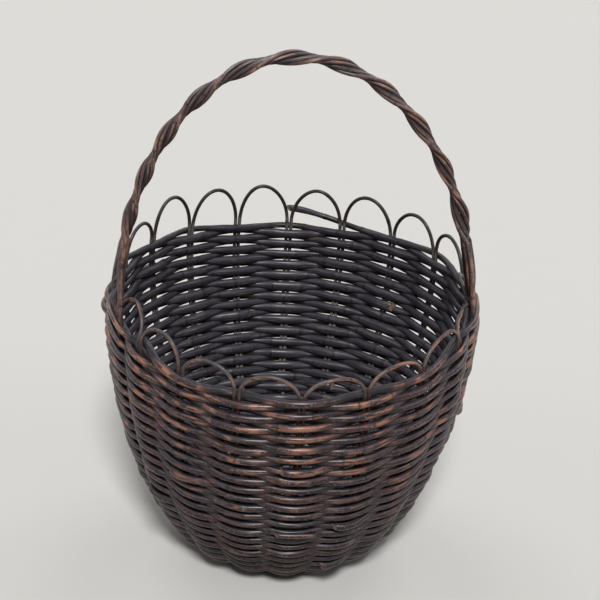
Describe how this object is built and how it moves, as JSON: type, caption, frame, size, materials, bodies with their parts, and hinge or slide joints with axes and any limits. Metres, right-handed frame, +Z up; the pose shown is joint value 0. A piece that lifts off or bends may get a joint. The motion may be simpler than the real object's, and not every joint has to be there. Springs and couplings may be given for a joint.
{
  "type": "gathering basket",
  "caption": "Round woven willow basket with rounded sides, a scalloped border of open arches and a fixed twisted rod handle, for gathering and carrying by hand.",
  "frame": {"origin": "middle of the basket on the plane that it stands on", "axes": "+Z up, X along the handle's span, -Y the side that the picture shows in front"},
  "size_m": [0.281, 0.2803, 0.4134],
  "materials": {
    "base_stick": "dull weathered bark",
    "base_weave": "dull weathered bark",
    "wall_weave": "dark weathered bark with a faint sheen",
    "stake": "dark weathered bark with a faint sheen",
    "handle": "worn bark, polished by hands"
  },
  "bodies": {
    "root": {"cross_stick_lower_1": "base_stick", "cross_stick_lower_2": "base_stick", "cross_stick_lower_3": "base_stick", "cross_stick_lower_4": "base_stick", "cross_stick_lower_5": "base_stick", "cross_stick_upper_1": "base_stick", "cross_stick_upper_2": "base_stick", "cross_stick_upper_3": "base_stick", "cross_stick_upper_4": "base_stick", "cross_stick_upper_5": "base_stick", "binding_rod_inner": "base_weave", "binding_rod_outer": "base_weave", "base_weaver_01": "base_weave", "base_weaver_02": "base_weave", "base_weaver_03": "base_weave", "wall_weaver_01": "wall_weave", "wall_weaver_02": "wall_weave", "wall_weaver_03": "wall_weave", "wall_weaver_04": "wall_weave", "wall_weaver_05": "wall_weave", "wall_weaver_06": "wall_weave", "wall_weaver_07": "wall_weave", "wall_weaver_08": "wall_weave", "wall_weaver_09": "wall_weave", "wall_weaver_10": "wall_weave", "wall_weaver_11": "wall_weave", "wall_weaver_12": "wall_weave", "wall_weaver_13": "wall_weave", "wall_weaver_14": "wall_weave", "wall_weaver_15": "wall_weave", "wall_weaver_16": "wall_weave", "wall_weaver_17": "wall_weave", "wall_weaver_18": "wall_weave", "wall_weaver_19": "wall_weave", "stake_01": "stake", "stake_02": "stake", "stake_03": "stake", "stake_04": "stake", "stake_05": "stake", "stake_06": "stake", "stake_07": "stake", "stake_08": "stake", "stake_09": "stake", "stake_10": "stake", "stake_11": "stake", "stake_12": "stake", "stake_13": "stake", "stake_14": "stake", "stake_15": "stake", "stake_16": "stake", "stake_17": "stake", "stake_18": "stake", "stake_19": "stake", "handle_strand_1_rod_1": "handle", "handle_strand_1_rod_2": "handle", "handle_strand_1_rod_3": "handle", "handle_strand_2_rod_1": "handle", "handle_strand_2_rod_2": "handle", "handle_strand_2_rod_3": "handle"}
  },
  "joints": []
}
